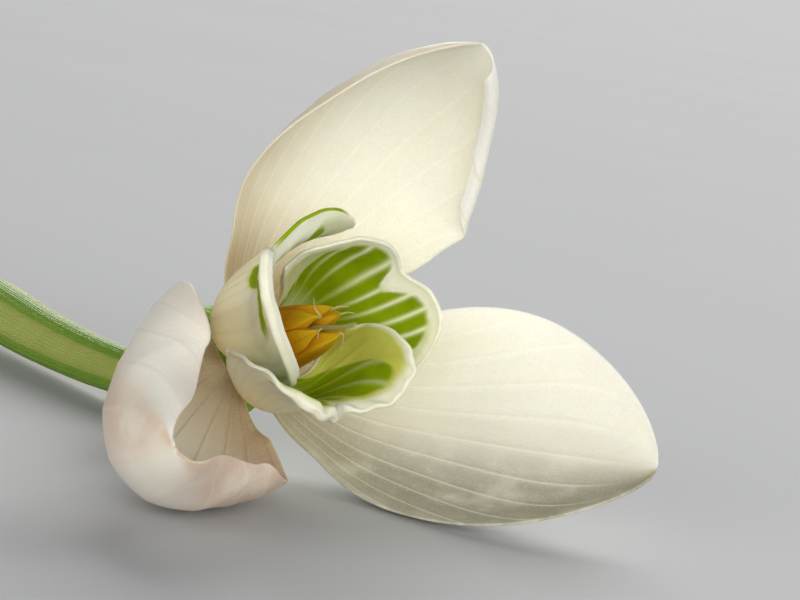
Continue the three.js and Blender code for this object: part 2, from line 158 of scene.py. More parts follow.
# inner tepals: pale is the ground beyond the green field, white tissue painted greenish for the
# green light through it, and olive on the lower tepal as painted shade
INNER_LOOKS = {
    "right": dict(pale=((0.66, 0.70, 0.34), (0.80, 0.83, 0.50)), ribs=1.0,
                  green=((0, 0.3), (0.14, 0.45), (0.18, 0.78), (0.235, 0.87), (0.28, 0.90),
                         (0.375, 0.91), (0.42, 0.87), (0.46, 0.80), (0.49, 0.86), (0.52, 0.93),
                         (0.67, 0.93), (0.72, 0.90), (0.76, 0.76), (0.80, 0.5),
                         (0.88, 0.35), (1, 0.3)),
                  white=((0, 0.88), (0.3, 0.91), (0.46, 0.82), (0.6, 0.94), (0.8, 0.92),
                         (1, 0.9)),
                  arches=[((0.24, 0.68), ((0, 0.5), (0.28, 0.80), (0.46, 0.86), (0.62, 0.80),
                                          (1, 0.5)))]),
    "lower": dict(pale=((0.56, 0.58, 0.06), (0.68, 0.69, 0.16)), ribs=0.35,
                  green=((0, 0.72), (0.2, 0.90), (0.33, 0.93), (0.42, 0.86), (0.47, 0.80),
                         (0.53, 0.81), (0.57, 0.84), (0.6, 0.86), (0.635, 0.89),
                         (0.675, 0.89), (0.70, 0.88), (0.725, 0.82), (0.75, 0.72),
                         (0.78, 0.60), (0.83, 0.50), (0.93, 0.40), (1, 0.3)),
                  white=((0, 0.90), (0.33, 0.96), (0.46, 0.86), (0.57, 0.88), (0.635, 0.91),
                         (0.7, 0.93), (0.8, 0.95), (1, 0.97)),
                  arches=[((0.19, 0.62), ((0, 0.89), (0.30, 0.87), (0.40, 0.83), (0.5, 0.80),
                                          (1, 0.5)))]),
    "near": dict(pale=((0.60, 0.63, 0.36), (0.72, 0.74, 0.50)), ribs=0.3,
                 green=((0, 0.3), (0.24, 0.4), (0.28, 0.80), (0.31, 0.90), (0.33, 0.82),
                        (0.38, 0.5), (0.6, 0.7), (0.8, 0.6), (1, 0.3)),
                 white=((0, 0.9), (0.3, 0.93), (0.34, 0.84), (0.45, 0.82), (0.6, 0.86),
                        (1, 0.86)),
                 arches=[((0.24, 0.46), ((0, 0.9), (0.3, 0.97), (0.46, 0.97), (1, 0.9))),
                         ((0.36, 0.73), ((0, 0.5), (0.36, 0.55), (0.49, 0.69), (0.62, 0.78),
                                         (0.7, 0.76), (1, 0.6)))]),
}
# width of the green arch and of its halo, and how soft its ends are
ARCH = dict(green=(0.055, 0.03), halo=(0.09, 0.03), first=0.02, last=0.03)

# ---- pistil and stamens: radius and height along the axis, mm ------------------------
PISTIL = [(0.8, -6.7), (1.5, -6.35), (2.3, -5.5), (2.95, -4.3), (3.35, -3.2),
          (3.5, -2.1), (3.45, -1.3), (2.9, -0.7), (1.8, -0.35), (0.42, -0.15),
          (0.36, 0.2), (0.33, 4.5), (0.33, 8.9), (0.2, 9.3)]
PISTIL_SIDES = 20             # of the solid
OVARY = dict(points=9, rows=70, sides=72, ribs=6, rib=0.02)
STYLE = [(0.42, -0.3), (0.34, 0.4), (0.24, 3.0), (0.18, 6.0), (0.15, 8.4), (0.14, 9.6),
         (0.05, 9.9)]
STYLE_BEND = dict(azimuth=185, out=0.62, start=6.0, end=9.6)
ANTHERS = 6
ANTHER = dict(base=1.9, inside=0.22, taper=0.7, rows=70, sides=56, squareness=7, width=0.55,
              shares=(0, 0.08, 0.17, 0.33, 0.58, 0.80, 0.92, 1.0),
              outside=(0.8, 1.35, 1.72, 1.8, 1.58, 1.25, 1.02, 0.78))
# height of each anther's tip, how far out it lies, and its awn's bend and end, each
# as out, aside and up from the tip
ANTHER_TIPS = [(8.35, 0.0, (0.1, -0.4, 0.2), (0.0, -0.9, 0.45)),
               (7.75, 0.0, (0.5, -0.3, 0.0), (0.85, -0.8, 0.1)),
               (7.7, 0.05, (0.4, 0.0, 0.1), (0.6, 0.35, -0.1)),
               (8.55, 0.15, (0.3, 0.1, 0.1), (1.1, -0.3, 0.1)),
               (8.5, 0.1, (0.2, 0.1, 0.3), (0.4, 0.3, 0.4)),
               (8.3, 0.1, (0.2, -0.1, 0.3), (0.5, -0.4, 0.5))]
FILAMENT = dict(course=((0.95, 0.2), (0.92, 1.0), (0.95, 1.7), (1.0, 2.3)), steps=16,
                radii=(0.22, 0.16))
AWN = dict(root=((0, 0, -0.3), (0, 0, 0.05)), steps=32, radii=(0.085, 0.025))

# ---- stage: azimuth and elevation, softness in degrees, strength and colour ----------
FLOOR_REACH = 20.0            # metres
LIGHTS = [
    ("front_window", (4, 12), 50, 1.9, (1.0, 0.99, 0.97)),
    ("right_window", (45, 14), 40, 0.8, (1.0, 0.985, 0.95)),
    ("left_window", (-45, 12), 50, 1.2, (1.0, 0.97, 0.94)),
    ("back_right_window", (145, 24), 40, 1.6, (1.0, 0.99, 0.97)),
    ("back_window", (177, 30), 40, 2.0, (1.0, 0.99, 0.97)),
]
ROOM_LIGHT = dict(colour=(0.92, 0.95, 1.0), strength=0.05)

# ---- camera, mm from the receptacle --------------------------------------------------
CAMERA_AT = (4.46, -147.55, 28.49)
CAMERA_AIM = (8.87, 0.53, 5.03)
CAMERA_UP = (-0.1821, 0.1592, 0.9703)
CAMERA_LENS = 111.375
CAMERA_SENSOR = 36.0


# ---- small helpers -------------------------------------------------------------------
def smooth(a, b, x):
    k = np.clip((x - a) / (b - a), 0, 1)
    return k * k * (3 - 2 * k)


def unit(v):
    return v / np.maximum(np.linalg.norm(v, axis=-1, keepdims=True), 1e-9)


def between(pair, x):
    """From the first of the pair to the second as x goes from 0 to 1."""
    return pair[0] + (pair[1] - pair[0]) * x


# ---- the bloom's own frame -----------------------------------------------------------
tilt, turn = math.radians(AXIS_ELEVATION), math.radians(AXIS_AZIMUTH)
AXIS = np.array([math.cos(tilt) * math.cos(turn), math.cos(tilt) * math.sin(turn),
                 math.sin(tilt)])
UPPER = unit(np.array([0, 0, 1]) - AXIS * AXIS[2])
FLANK = np.cross(AXIS, UPPER)


def bloom_point(azimuth, r, b, z):
    """Radial r and sideways b at an azimuth in radians, and z along the axis."""
    azimuth, r, b, z = np.broadcast_arrays(azimuth, r, b, z)
    c, s = np.cos(azimuth), np.sin(azimuth)
    return ((r * c - b * s)[..., None] * UPPER + (r * s + b * c)[..., None] * FLANK
            + z[..., None] * AXIS)


def find_receptacle():
    """The receptacle's place in the frame, mm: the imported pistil's box gives it."""
    sides = np.arange(PISTIL_SIDES) * 2 * math.pi / PISTIL_SIDES
    r, z = np.array(PISTIL).T
    solid = bloom_point(sides[None, :], r[:, None], 0.0, z[:, None])
    return np.array(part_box("pistil")[0]) / MM - solid.reshape(-1, 3).min(axis=0)


RECEPTACLE = find_receptacle()


# ---- procedural materials ------------------------------------------------------------
class Finish:
    """One node material. Its methods add a node and give back its output."""

    def __init__(self, name, **sockets):
        self.material = bpy.data.materials.new(name)
        self.material.use_nodes = True
        self.tree = self.material.node_tree
        self.tree.nodes.clear()
        self.shader = self.tree.nodes.new("ShaderNodeBsdfPrincipled")
        out = self.tree.nodes.new("ShaderNodeOutputMaterial")
        self.tree.links.new(self.shader.outputs[0], out.inputs["Surface"])
        for key, value in sockets.items():
            self.feed(self.shader.inputs[key.replace("_", " ")], value)

    def feed(self, socket, value):
        if isinstance(value, bpy.types.NodeSocket):
            self.tree.links.new(value, socket)
        elif isinstance(value, tuple) and socket.type == "RGBA":
            socket.default_value = (*value[:3], 1)
        else:
            socket.default_value = value

    def node(self, kind, inputs=(), **settings):
        made = self.tree.nodes.new("ShaderNode" + kind)
        for key, value in settings.items():
            setattr(made, key, value)
        for key, value in dict(inputs).items():
            self.feed(made.inputs[key], value)
        return made

    def math(self, operation, a, b=0.0, c=0.0):
        return self.node("Math", {0: a, 1: b, 2: c}, operation=operation).outputs[0]

    def times(self, *factors):
        product = factors[0]
        for factor in factors[1:]:
            product = self.math("MULTIPLY", product, factor)
        return product

    def step(self, x, low, high):
        """0 below low and 1 above high, smooth between; falls if high < low."""
        ends = {"Value": x, "From Min": min(low, high), "From Max": max(low, high),
                "To Min": float(high < low), "To Max": float(high > low)}
        return self.node("MapRange", ends, interpolation_type="SMOOTHSTEP").outputs[0]

    def uv(self, layer):
        coordinates = self.node("UVMap", uv_map=layer).outputs[0]
        parts = self.node("SeparateXYZ", {0: coordinates})
        return parts.outputs[0], parts.outputs[1]

    def noise(self, size_mm, detail=3.0):
        place = self.node("TexCoord").outputs["Object"]
        scaled = self.node("VectorMath", {0: place, 1: (1 / MM,) * 3},
                           operation="MULTIPLY").outputs[0]
        return self.node("TexNoise", {"Vector": scaled, "Scale": 1 / size_mm,
                                      "Detail": detail}).outputs[0]

    def cells(self, size_mm):
        place = self.node("TexCoord").outputs["Object"]
        return self.node("TexVoronoi", {"Vector": place, "Scale": 1 / (size_mm * MM)}
                         ).outputs[0]

    def curve(self, x, points):
        """A smooth curve of x, from 0 to 1, through (x, y) points."""
        made = self.node("FloatCurve", {"Value": x})
        line = made.mapping.curves[0]
        for place, point in zip(line.points, (points[0], points[-1])):
            place.location = point
        for point in points[1:-1]:
            line.points.new(*point)
        made.mapping.update()
        return made.outputs[0]

    def lines(self, x, pitch, sharp):
        """1 on lines that lie a pitch apart in x, falling to 0 beside them."""
        phase = self.math("MULTIPLY", x, 2 * math.pi / pitch)
        wave = self.math("MULTIPLY_ADD", self.math("COSINE", phase), 0.5, 0.5)
        return self.math("POWER", wave, sharp)

    def mix(self, factor, first, second):
        made = self.node("Mix", data_type="RGBA")
        for socket, value in zip((made.inputs[0], made.inputs[6], made.inputs[7]),
                                 (factor, first, second)):
            self.feed(socket, value)
        return made.outputs[2]

    def rough(self, grains, low, high):
        return self.mix(grains, (low,) * 3, (high,) * 3)

    def dress(self, colour, roughness, bumps):
        """Colour and roughness to the shader, and (height, depth in mm) bumps."""
        self.feed(self.shader.inputs["Base Color"], colour)
        self.feed(self.shader.inputs["Roughness"], roughness)
        normal = None
        for height, depth in bumps:
            bump = self.node("Bump", {"Height": height, "Strength": 1.0,
                                      "Distance": depth * MM})
            if normal is not None:
                self.tree.links.new(normal, bump.inputs["Normal"])
            normal = bump.outputs[0]
        self.tree.links.new(normal, self.shader.inputs["Normal"])
        return self.material


def tissue(name, depth=0.5, weight=0.5, gloss=0.3):
    """A moist, translucent plant tissue, still without its colour."""
    return Finish(name, Subsurface_Weight=weight, Subsurface_Radius=(1.0, 0.9, 0.55),
                  Subsurface_Scale=depth * MM, Specular_IOR_Level=gloss)


def outer_tepal_material(name, look, outside):
    """Cream white with painted shade; look gives how much shade the width gets, from 0 to 1,
    and each colour.
    """
    f = tissue(name)
    across, along = f.uv("blade")
    vein, _ = f.uv("veins")
    patches = f.noise(2.5)
    grains = f.noise(0.18, detail=4.0)
    specks = f.cells(0.35)
    milky = f.mix(patches, *OUTER_TINTS["milk"])
    # painted shade: the shade curve over the width, made patchy, in the tepal's shade colour
    uneven = f.step(patches, 0.0, 0.6)
    painted_shade = f.mix(f.times(f.curve(across, look["shade"]), uneven), milky, look["shade_colour"])
    # painted shade: darker towards the base, in the base colour
    base = f.mix(f.times(f.step(along, 0.4, 0.0), 0.85), painted_shade, look["base"])
    lines = f.times(f.lines(vein, 1 / VEIN_SPAN, 50.0), f.step(along, 0.97, 0.8))
    veined = f.mix(f.times(lines, 0.5), base, look["veins"][1 if outside else 0])
    faint = f.times(f.step(specks, 0.25, 0.1), f.step(f.noise(1.8), 0.5, 0.65), 0.3)
    spotted = f.mix(faint, veined, OUTER_TINTS["speck"])
    mottled = f.mix(f.times(f.step(grains, 0.45, 0.75), 0.3), spotted, OUTER_TINTS["grain"])
    bumps = [(grains, 0.035), (f.cells(0.11), 0.012)]
    return f.dress(mottled, f.rough(grains, 0.42, 0.6), bumps)


def inner_tepal_material(name, look, outside):
    """Pale and translucent, with the green field inside and the green arch outside.

    look gives curves over the width, from 0 to 1: how far along the green reaches and
    the white starts inside, and the ends and the middle line of each arch outside.
    """
    f = tissue(name, depth=0.25, weight=0.35, gloss=0.06)
    across, along = f.uv("blade")
    rib, _ = f.uv("veins")
    grains = f.noise(0.16, detail=4.0)
    patches = f.noise(1.2)
    ragged = f.math("MULTIPLY_ADD", f.noise(0.5), 0.03, -0.015)
    place = f.math("ADD", along, ragged)
    white = f.mix(patches, *INNER_TINTS["white"])
    green = f.mix(patches, *INNER_TINTS["green"])
    if outside:
        veins = f.times(f.lines(rib, 1 / RIB_SPAN, 4.0), 0.3)
        warm = f.mix(f.step(along, 0.9, 0.15), white, INNER_TINTS["warm"])
        colour = f.mix(veins, warm, INNER_TINTS["vein"])
        for (first, last), line in look["arches"]:
            off = f.math("ABSOLUTE", f.math("SUBTRACT", place, f.curve(across, line)))
            within = f.times(f.step(across, first - ARCH["first"], first + ARCH["first"]),
                             f.step(across, last + ARCH["last"], last - ARCH["last"]))
            halo = f.times(f.step(off, *ARCH["halo"]), within)
            colour = f.mix(halo, colour, INNER_TINTS["halo"])
            colour = f.mix(f.times(f.step(off, *ARCH["green"]), within), colour, green)
    else:
        reach = f.curve(across, look["green"])
        white_from = f.curve(across, look["white"])
        rim = f.step(f.math("SUBTRACT", place, white_from), -0.03, 0.05)
        # painted light and shade: the ground beyond the field is tinted greenish for light
        # through the green, olive on the lower tepal for its shade
        ground = f.mix(rim, f.mix(patches, *look["pale"]), white)
        field = f.times(f.step(f.math("SUBTRACT", place, reach), 0.025, -0.025),
                        f.step(along, 0.05, 0.36))
        ribs = f.times(f.lines(rib, 1 / RIB_SPAN, 5.0), look["ribs"])
        lit = f.mix(f.step(along, 0.35, 0.85), *INNER_TINTS["rib"])
        colour = f.mix(field, ground, f.mix(ribs, green, lit))
    bumps = [(grains, 0.03), (f.cells(0.1), 0.01)]
    return f.dress(colour, f.rough(grains, 0.45, 0.62), bumps)


def anther_material():
    f = tissue("anther_orange", depth=0.25, weight=0.25, gloss=0.15)
    across, along = f.uv("blade")
    grains = f.noise(0.12, detail=4.0)
    tone = f.mix(f.noise(0.7), *ANTHER_TINTS["body"])
    tipped = f.mix(f.step(along, 0.6, 0.97), tone, ANTHER_TINTS["tip"])
    dusty = f.mix(f.times(f.step(grains, 0.5, 0.7), 0.5), tipped, ANTHER_TINTS["pollen"])
    seam = f.times(f.lines(across, 1.0, 400.0), 0.35)
    colour = f.mix(seam, dusty, ANTHER_TINTS["seam"])
    return f.dress(colour, f.rough(grains, 0.5, 0.75), [(grains, 0.03)])


def streaked(name, tints, size=0.5, depth=0.4):
    """Green or pale tissue with fine lengthwise streaks, between two tints."""
    f = tissue(name, depth=depth, weight=0.3)
    across, _ = f.uv("blade")
    broad = f.noise(size)
    fine = f.lines(across, 1 / 48, 1.5)
    streak = f.math("ADD", f.times(fine, 0.35), f.times(broad, 0.7))
    colour = f.mix(streak, *tints)
    grains = f.noise(0.1, detail=4.0)
    return f.dress(colour, f.rough(grains, 0.45, 0.65), [(grains, 0.02), (fine, 0.02)])


def spathe_material(name, outside):
    """Two green keels, with pale membrane between and beside them."""
    f = tissue(name, depth=0.4, weight=0.4)
    across, _ = f.uv("blade")
    off = f.math("ABSOLUTE", f.math("SUBTRACT", across, 0.5))
    keel = f.times(f.step(off, 0.09, 0.15), f.step(off, 0.33, 0.26))
    patches = f.noise(1.4)
    membrane = f.mix(patches, *SPATHE_TINTS["membrane"])
    green = f.mix(patches, *SPATHE_TINTS["keel"])
    edge = f.mix(f.step(off, 0.34, 0.46), membrane, SPATHE_TINTS["edge"])
    colour = f.mix(keel, edge, green)
    fine = f.lines(across, 1 / 60, 1.5)
    veined = f.mix(f.times(fine, 0.22), colour, SPATHE_TINTS["vein"])
    grains = f.noise(0.14, detail=4.0)
    bumps = [(grains, 0.03), (fine, 0.04 if outside else 0.02)]
    return f.dress(veined, f.rough(grains, 0.4, 0.6), bumps)


def cut_material():
    """The stem's cut end: pale, porous pith in a green rind."""
    f = tissue("scape_cut_face", depth=0.4, weight=0.4)
    _, along = f.uv("blade")
    pores = f.cells(0.28)
    pith = f.mix(f.step(along, 0.55, 0.95), CUT_TINTS["pith"], CUT_TINTS["rind"])
    colour = f.mix(f.step(pores, 0.35, 0.7), pith, CUT_TINTS["pore"])
    return f.dress(colour, 0.4, [(pores, 0.05)])


# ---- pieces --------------------------------------------------------------------------
def make_piece(name, parts, node):
    """One object from (points in mm, faces, uv layers, material) parts."""
    points, faces, slots, materials = [], [], [], []
    layers = {}
    count = 0
    for part_points, part_faces, uvs, material in parts:
        part_points = np.asarray(part_points).reshape(-1, 3)
        if material not in materials:
            materials.append(material)
        points.append(part_points)
        faces.extend([tuple(int(i) + count for i in face) for face in part_faces])
        slots.extend([materials.index(material)] * len(part_faces))
        for layer in ("blade", "veins"):
            given = uvs.get(layer, uvs["blade"])
            layers.setdefault(layer, []).append(np.asarray(given).reshape(-1, 2))
        count += len(part_points)
    mesh = bpy.data.meshes.new(name)
    mesh.from_pydata(((np.concatenate(points) + RECEPTACLE) * MM).tolist(), [], faces)
    for material in materials:
        mesh.materials.append(material)
    mesh.polygons.foreach_set("material_index", slots)
    mesh.polygons.foreach_set("use_smooth", [True] * len(faces))
    corners = np.empty(len(mesh.loops), dtype=np.int32)
    mesh.loops.foreach_get("vertex_index", corners)
    for layer, values in layers.items():
        uv = mesh.uv_layers.new(name=layer)
        uv.data.foreach_set("uv", np.concatenate(values)[corners].ravel())
    mesh.validate()
    piece = bpy.data.objects.new(name, mesh)
    bpy.context.scene.collection.objects.link(piece)
    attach(piece, "root")
    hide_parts(node)
    return piece


def grid_faces(rows, columns, start=0, flip=False, wrap=False):
    """Quads of a grid of points, row by row; wrap joins the last column to the first."""
    width = columns if wrap else columns + 1
    faces = []
    for i in range(rows):
        for j in range(columns):
            a = start + i * width + j
            b = start + i * width + (j + 1) % width
            face = (a, b, b + width, a + width)
            faces.append(face[::-1] if flip else face)
    return faces


def slope_along(sheet, u, t):
    return sheet(np.minimum(u + NUDGE, 1), t) - sheet(np.maximum(u - NUDGE, 0), t)


def blade(sheet, grid, thickness, relief, vein, inside, outside):
    """The parts of a closed blade with rounded rims round the sheet(u, t).

    thickness(u, t) in mm, relief(u, t, side) is how far a face stands proud, and
    vein(u, t) is the coordinate that the veins follow. The grid is in steps along
    and across.
    """
    rows, columns = grid
    u = np.linspace(0, 1, rows + 1)[:, None] * np.ones((1, columns + 1))
    t = np.linspace(-1, 1, columns + 1)[None, :] * np.ones((rows + 1, 1))
    along = slope_along(sheet, u, t)
    across = sheet(u, np.minimum(t + NUDGE, 1)) - sheet(u, np.maximum(t - NUDGE, -1))
    normal = unit(np.cross(along, across))
    middle = sheet(u, t)
    half = thickness(u, t)[..., None] / 2
    front = middle + normal * (half + relief(u, t, 1)[..., None])
    back = middle - normal * (half + relief(u, t, -1)[..., None])
    ring = ([(i, 0) for i in range(rows)] + [(rows, j) for j in range(columns)]
            + [(rows - i, columns) for i in range(rows)]
            + [(0, columns - j) for j in range(columns)])
    ring_i, ring_j = np.array(ring).T
    side = np.where(ring_j == columns, 1, 0) - np.where(ring_j == 0, 1, 0)
    end = np.where(ring_i == rows, 1, 0) - np.where((ring_i == 0) & (side == 0), 1, 0)
    outward = (end[:, None] * unit(along)[ring_i, ring_j]
               + side[:, None] * unit(across)[ring_i, ring_j])
    ridge = middle[ring_i, ring_j] + unit(outward) * half[ring_i, ring_j] * 0.9
    size = (rows + 1) * (columns + 1)
    edge = ring_i * (columns + 1) + ring_j
    after = np.roll(edge, -1)
    rim = 2 * size + np.arange(len(ring))
    rim_after = np.roll(rim, -1)
    rim_faces = [(a, b, d, c) for a, b, c, d in zip(edge, after, rim, rim_after)]
    rim_faces += [(a + size, c, d, b + size) for a, b, c, d in zip(edge, after, rim, rim_after)]
    uv = np.stack([(t + 1) / 2, u], -1).reshape(-1, 2)
    veins = np.stack([vein(u, t), u], -1).reshape(-1, 2)
    points = np.concatenate([front.reshape(-1, 3), back.reshape(-1, 3), ridge])
    uvs = {"blade": np.concatenate([uv, uv, uv[edge]]),
           "veins": np.concatenate([veins, veins, veins[edge]])}
    return [(points, grid_faces(rows, columns), uvs, inside),
            (points, grid_faces(rows, columns, size, True), uvs, outside),
            (points, rim_faces, uvs, outside)]


def joined(parts):
    """Parts that share one list of points, with the points kept once."""
    points, _, uvs, _ = parts[0]
    first = [(points, parts[0][1], uvs, parts[0][3])]
    none = np.zeros((0, 3))
    empty = {"blade": np.zeros((0, 2))}
    rest = []
    for _, faces, _, material in parts[1:]:
        shifted = [tuple(i - len(points) for i in face) for face in faces]
        rest.append((none, shifted, empty, material))
    return first + rest


# ---- tepals --------------------------------------------------------------------------
def midrib(kind, tepal):
    """The middle line of a tepal: radius, height and lean as functions along it."""
    base, middle, tip = tepal["flare"]
    bend_base, bend_tip = kind["bends"]

    def lean(s):
        return np.radians(middle + (base - middle) * (1 - smooth(0, bend_base, s))
                          + (tip - middle) * smooth(bend_tip, 1, s))

    share = MIDRIB["reach"] / MIDRIB["steps"]
    leans = lean((np.arange(MIDRIB["steps"]) + 0.5) * share)
    step = kind["length"] * share
    at = np.linspace(0, MIDRIB["reach"], MIDRIB["steps"] + 1)
    bulge = np.sin(np.pi * np.minimum(at / kind.get("belly_end", 1), 1) ** 0.7) ** 2
    r = kind["radius"] + np.concatenate([[0], np.cumsum(np.sin(leans) * step)])
    r = r + tepal.get("belly", 0) * bulge
    z = kind["height"] + np.concatenate([[0], np.cumsum(np.cos(leans) * step)])
    return (lambda s: np.interp(s, at, r)), (lambda s: np.interp(s, at, z)), lean


def tepal_point(tepal, line, s, t, half, curl, twist, roll=0.0):
    """Point of a tepal at s along and t across, from its half width and curl."""
    radius_at, height_at, lean_at = line
    bend = curl * half / (half + RIM_RADIUS * np.abs(curl))
    x = (half / bend + roll) * np.sin(bend * t)
    y = half / bend * (1 - np.cos(bend * t)) - roll * np.cos(bend * t)
    sideways = x * np.cos(twist) - y * np.sin(twist)
    inward = x * np.sin(twist) + y * np.cos(twist)
    lean = lean_at(s)
    return bloom_point(np.radians(tepal["azimuth"]),
                       radius_at(s) - np.cos(lean) * inward,
                       sideways + tepal["sway"] * s * s,
                       height_at(s) + np.sin(lean) * inward)


def outer_half_width(tepal, u, t):
    shape = {**OUTER, **tepal}
    rise = np.sin(np.pi / 2 * np.minimum(u / shape["widest"], 1)) ** shape["rise"]
    past = np.maximum(u - shape["widest"], 0) / (1 - shape["widest"])
    fall = np.maximum(1 - past * past, 0) ** shape["fall"]
    share = np.where(u < shape["widest"], shape["base"] + (1 - shape["base"]) * rise, fall)
    even = shape["breadth"] * shape["width"] * share / 2
    even = even + shape["tip_half_width"] * smooth(0.8, 1, u)
    out, at, reach = shape["corner"]
    corner = out * np.exp(-np.abs((u - at) / reach) ** 1.5) * np.maximum(-t, 0) ** 3
    return even * (1 + shape["wider"] * np.tanh(2 * t)) + corner


def outer_sheet(tepal):
    line = midrib(OUTER, tepal)
    base, middle, tip = tepal["curl"]

    def sheet(u, t):
        skew = between(tepal["skew"], smooth(0.3, 0.9, u))
        flat = between((OUTER["flat_base"], 1), smooth(0, OUTER["flat_until"], u))
        curl = base + (middle - base) * smooth(0.3, 0.7, u) + (tip - middle) * smooth(0.7, 1, u)
        curl = curl * (1 + skew * np.tanh(2 * t)) * flat
        twist = np.radians(tepal["twist"][0] + tepal["twist"][1] * smooth(0, 0.5, u))
        return tepal_point(tepal, line, u, t, outer_half_width(tepal, u, t), curl, twist)
    return sheet


def hemmed(sheet):
    """The sheet with its right margin turned in over the inner face, above the corner."""
    first = -1 + HEM["share"]

    def folded(u, t):
        flat = sheet(u, np.maximum(-1 + (t - first) * 2 / (1 - first), -1))
        width = HEM["size"] * smooth(*HEM["start"], u) * smooth(*HEM["end"], u)
        length = (width + HEM["least"]) * np.maximum(first - t, 0) / HEM["share"]
        edge = -1.0 + 0 * t
        outward = unit(sheet(u, edge) - sheet(u, edge + HEM["beside"]))
        inward = unit(np.cross(outward, slope_along(sheet, u, edge)))
        turned = np.minimum(length / HEM["radius"], HEM["turn"])
        rest = np.maximum(length - HEM["radius"] * HEM["turn"], 0)
        out = HEM["radius"] * np.sin(turned) + rest * np.cos(turned)
        over = HEM["radius"] * (1 - np.cos(turned)) + rest * np.sin(turned)
        hem = out[..., None] * outward + over[..., None] * inward
        return flat + np.where((t < first)[..., None], hem, 0)
    return folded


def inner_reach(tepal, u, t):
    """How far along an inner tepal u is, under its notched and rounded end."""
    more, about, spread = {**INNER, **tepal}["longer"]
    notch = INNER["notch"] * np.exp(-((t - INNER["notch_at"]) / INNER["notch_width"]) ** 2)
    drop = INNER["drop"] * smooth(*INNER["round"], np.abs(t))
    return u * (1 - notch - drop + more * np.exp(-((t - about) / spread) ** 2))


def inner_sheet(tepal):
    line = midrib(INNER, tepal)

    def sheet(u, t):
        s = inner_reach(tepal, u, t)
        left = np.tanh(2 * t)
        rise = np.sin(np.pi / 2 * np.minimum(s / INNER["widest"], 1)) ** INNER["rise"]
        half = INNER["width"] / 2 * (INNER["base"] + (1 - INNER["base"]) * rise)
        curl = between(tepal["curl"], smooth(0.4, 1, s)) * (1 + tepal["skew"] * left)
        twist = np.radians(tepal["twist"][0] + tepal["twist"][1] * smooth(0.4, 1, s))
        roll = tepal["roll"] * smooth(INNER["roll_from"], 1, u) ** 1.5
        return tepal_point(tepal, line, s, t, half * (1 + tepal["wider"] * left),
                           curl, twist, roll)
    return sheet


def ridge(x, width):
    """1 where x is whole, falling beside it within the width."""
    off = np.abs(x - np.round(x))
    return np.exp(-(off / width) ** 2)


def build_outer_tepals():
    def spread(u, t):
        """Vein number: the veins fan out towards the margins from the middle up."""
        return t * (1 - VEIN_FAN * smooth(0.3, 1, u)) / VEIN_PITCH

    def thickness(u, t):
        rim = np.maximum(np.abs(t) ** 6, smooth(0.93, 1, u))
        return between((OUTER_BLADE["middle"], OUTER_BLADE["rim"]), rim)

    def relief(u, t, side):
        number = spread(u, t)
        fade = smooth(1, 0.8, u) * smooth(0, 0.1, u) * (1 - np.abs(t) ** 8)
        vein = ridge(number, OUTER_BLADE["vein_width"]) * OUTER_BLADE["vein"] * fade
        quilt = OUTER_BLADE["quilt"] * np.cos(2 * np.pi * number) * fade
        return vein * (1 if side > 0 else OUTER_BLADE["vein_behind"]) - quilt * side

    for name, tepal in OUTER_TEPALS.items():
        inside, outside = (outer_tepal_material("outer_" + name + face, OUTER_LOOKS[name], back)
                           for face, back in (("_inner_face", False), ("_outer_face", True)))
        sheet = outer_sheet(tepal)
        parts = blade(hemmed(sheet) if name == "upper" else sheet, OUTER_BLADE["grid"],
                      thickness, relief, lambda u, t: spread(u, t) / VEIN_SPAN + 0.5,
                      inside, outside)
        make_piece(name + "_outer_petal", joined(parts), "outer_tepal_" + name)


def build_inner_tepals():
    def rib_number(t):
        return (t - RIB_MIDDLE) / between(RIB_PITCH, smooth(-0.1, 0.25, t))

    for name, tepal in INNER_TEPALS.items():
        inside, outside = (inner_tepal_material("inner_" + name + face, INNER_LOOKS[name], back)
                           for face, back in (("_inner_face", False), ("_outer_face", True)))

        def thickness(u, t, bead=tepal.get("bead", INNER["bead"])):
            size, low, high = bead
            share = size / 2 / INNER["length"]
            round_rim = np.sqrt(np.maximum(1 - ((u - 1 + share) / share) ** 2, 0))
            round_rim = round_rim * smooth(low - 0.1, low + 0.1, t)
            round_rim = round_rim * smooth(high + 0.1, high - 0.1, t)
            thin = between((INNER_BLADE["middle"], INNER_BLADE["rim"]), smooth(0.8, 0.98, u))
            return thin + np.maximum(size - thin, 0) * round_rim

        def relief(u, t, side, frill=tepal["frill"]):
            number = rib_number(t)
            fade = smooth(0.93, 0.8, u) * smooth(0, 0.2, u) * (1 - np.abs(t) ** 8)
            height = INNER_BLADE["rib"] if side > 0 else -INNER_BLADE["groove"]
            ribs = ridge(number, INNER_BLADE["rib_width"]) * height * fade
            wave = sum(np.sin(n * t + phase) for n, phase in INNER_BLADE["waves"])
            return ribs - frill * wave * smooth(0.88, 1, u) * side

        parts = blade(inner_sheet(tepal), INNER_BLADE["grid"], thickness, relief,
                      lambda u, t: rib_number(t) / RIB_SPAN + 0.5 + 0 * u, inside, outside)
        make_piece(name + "_inner_petal", joined(parts), "inner_tepal_" + name)


# ---- rods, turned solids and stamens -------------------------------------------------
def tube(centres, radii, material, sides=16):
    """A round rod along the centres, with its own frame carried along it."""
    centres = np.asarray(centres, dtype=float)
    along = unit(np.gradient(centres, axis=0))
    sideways = unit(np.cross(along[0], AXIS + np.array([0.1, 0.2, 0.3])))
    rings = []
    for centre, direction, radius in zip(centres, along, radii):
        sideways = unit(sideways - direction * np.dot(sideways, direction))
        over = np.cross(direction, sideways)
        a = np.linspace(0, 2 * np.pi, sides, endpoint=False)[:, None]
        rings.append(centre + radius * (np.cos(a) * sideways + np.sin(a) * over))
    return ring_part(np.array(rings), material)


